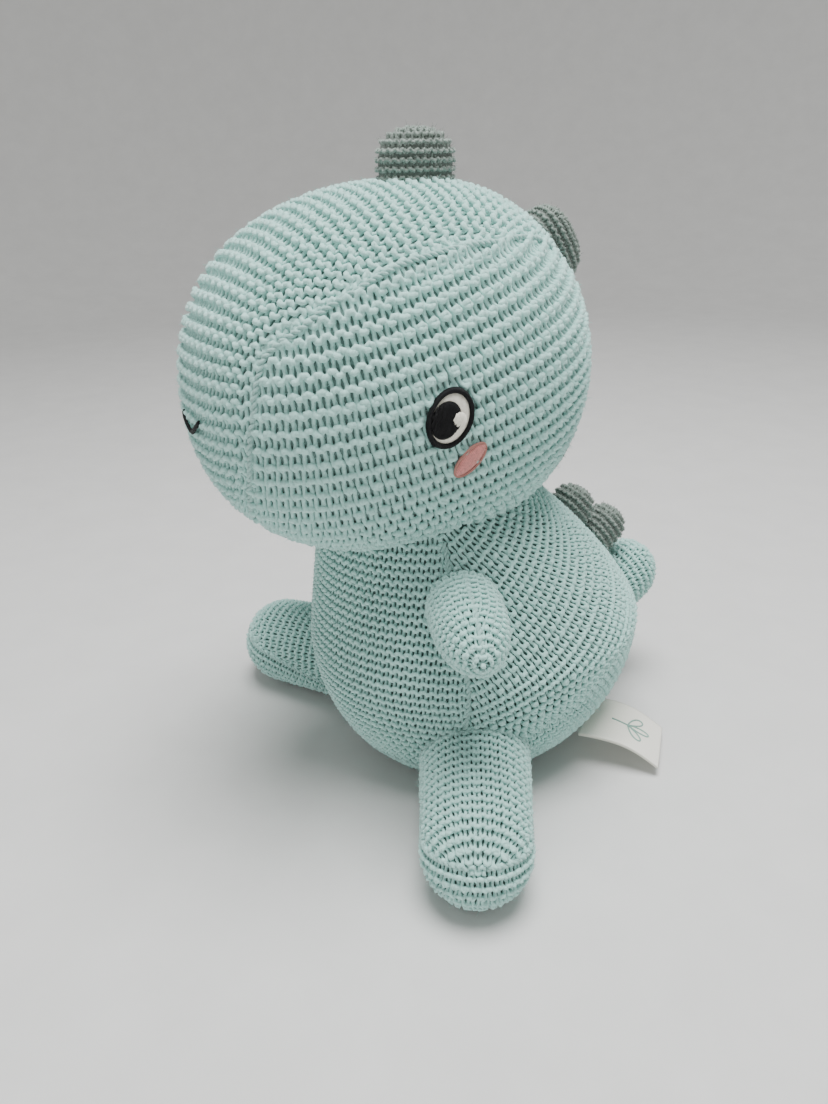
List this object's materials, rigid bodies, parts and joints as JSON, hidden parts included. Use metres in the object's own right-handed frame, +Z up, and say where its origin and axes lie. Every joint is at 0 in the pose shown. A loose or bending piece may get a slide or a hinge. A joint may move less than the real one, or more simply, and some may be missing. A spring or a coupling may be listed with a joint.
{
  "type": "stuffed dinosaur",
  "caption": "Sitting plush dinosaur in reverse knit: big egg-shaped head, pear body, stub arms, straight legs, short tail, padded back spikes and a folded ribbon label.",
  "frame": {"origin": "on the floor, under the middle of the whole toy's bounding box", "axes": "+Z up, -Y the way the nose points, +X the toy's own left side"},
  "size_m": [0.21, 0.215, 0.2503],
  "materials": {
    "body_knit": "soft brushed knit",
    "gusset_knit": "soft brushed knit, finer gauge",
    "limb_knit": "soft brushed knit",
    "spike_knit": "heathered fine knit",
    "stuffing": "loose polyester fibre",
    "black_thread": "satin stitch",
    "cream_thread": "satin stitch",
    "pink_thread": "satin stitch",
    "ribbon": "woven satin"
  },
  "bodies": {
    "torso": {"back_lower_spike_cover": "spike_knit", "back_lower_spike_stuffing": "stuffing", "back_upper_spike_cover": "spike_knit", "back_upper_spike_stuffing": "stuffing", "neck_stuffing": "stuffing", "torso_back_panel_left": "body_knit", "torso_back_panel_right": "body_knit", "torso_base_panel": "body_knit", "torso_front_panel": "body_knit", "torso_stuffing": "stuffing"},
    "head": {"cheek_patch_left": "pink_thread", "cheek_patch_right": "pink_thread", "eye_glint_left": "cream_thread", "eye_glint_right": "cream_thread", "eye_pupil_left": "black_thread", "eye_pupil_right": "black_thread", "eye_ring_left": "black_thread", "eye_ring_right": "black_thread", "eye_white_left": "cream_thread", "eye_white_right": "cream_thread", "head_crown_spike_cover": "spike_knit", "head_crown_spike_stuffing": "stuffing", "head_gusset": "gusset_knit", "head_nape_spike_cover": "spike_knit", "head_nape_spike_stuffing": "stuffing", "head_side_panel_left": "body_knit", "head_side_panel_right": "body_knit", "head_stuffing": "stuffing", "head_top_spike_cover": "spike_knit", "head_top_spike_stuffing": "stuffing", "mouth_stitch": "black_thread"},
    "arm_left": {"arm_back_panel_left": "limb_knit", "arm_front_panel_left": "limb_knit", "arm_stuffing_left": "stuffing"},
    "arm_right": {"arm_back_panel_right": "limb_knit", "arm_front_panel_right": "limb_knit", "arm_stuffing_right": "stuffing"},
    "leg_left": {"leg_sole_panel_left": "limb_knit", "leg_stuffing_left": "stuffing", "leg_top_panel_left": "limb_knit"},
    "leg_right": {"leg_sole_panel_right": "limb_knit", "leg_stuffing_right": "stuffing", "leg_top_panel_right": "limb_knit"},
    "tail": {"tail_panel_left": "limb_knit", "tail_panel_right": "limb_knit", "tail_stuffing": "stuffing"},
    "label": {"label_ribbon": "ribbon"}
  },
  "joints": [
    {"name": "neck_nod", "type": "hinge", "parent": "torso", "child": "head", "pos_m": [0, -0.0176, 0.115], "axis": [1, 0, 0], "range_deg": [-3, 8], "stiffness_Nm_per_rad": 0.8},
    {"name": "arm_left_lift", "type": "hinge", "parent": "torso", "child": "arm_left", "pos_m": [0.0496, -0.0316, 0.0935], "axis": [-0.4067, -0.9135, 0], "range_deg": [-15, 15], "stiffness_Nm_per_rad": 0.03},
    {"name": "arm_right_lift", "type": "hinge", "parent": "torso", "child": "arm_right", "pos_m": [-0.0496, -0.0316, 0.0935], "axis": [-0.4067, 0.9135, 0], "range_deg": [-15, 15], "stiffness_Nm_per_rad": 0.03},
    {"name": "leg_left_swing", "type": "hinge", "parent": "torso", "child": "leg_left", "pos_m": [0.0425, -0.0221, 0.0219], "axis": [0, 0, 1], "range_deg": [-12, 12], "stiffness_Nm_per_rad": 0.15},
    {"name": "leg_right_swing", "type": "hinge", "parent": "torso", "child": "leg_right", "pos_m": [-0.0425, -0.0221, 0.0219], "axis": [0, 0, 1], "range_deg": [-12, 12], "stiffness_Nm_per_rad": 0.15},
    {"name": "tail_wag", "type": "hinge", "parent": "torso", "child": "tail", "pos_m": [0, 0.0764, 0.0495], "axis": [0, 0, 1], "range_deg": [-12, 12], "stiffness_Nm_per_rad": 0.05},
    {"name": "label_flap", "type": "hinge", "parent": "torso", "child": "label", "pos_m": [0.03954, 0.03986, 0.015], "axis": [0.6691, -0.7431, 0], "range_deg": [-5, 40], "stiffness_Nm_per_rad": 0.001}
  ]
}
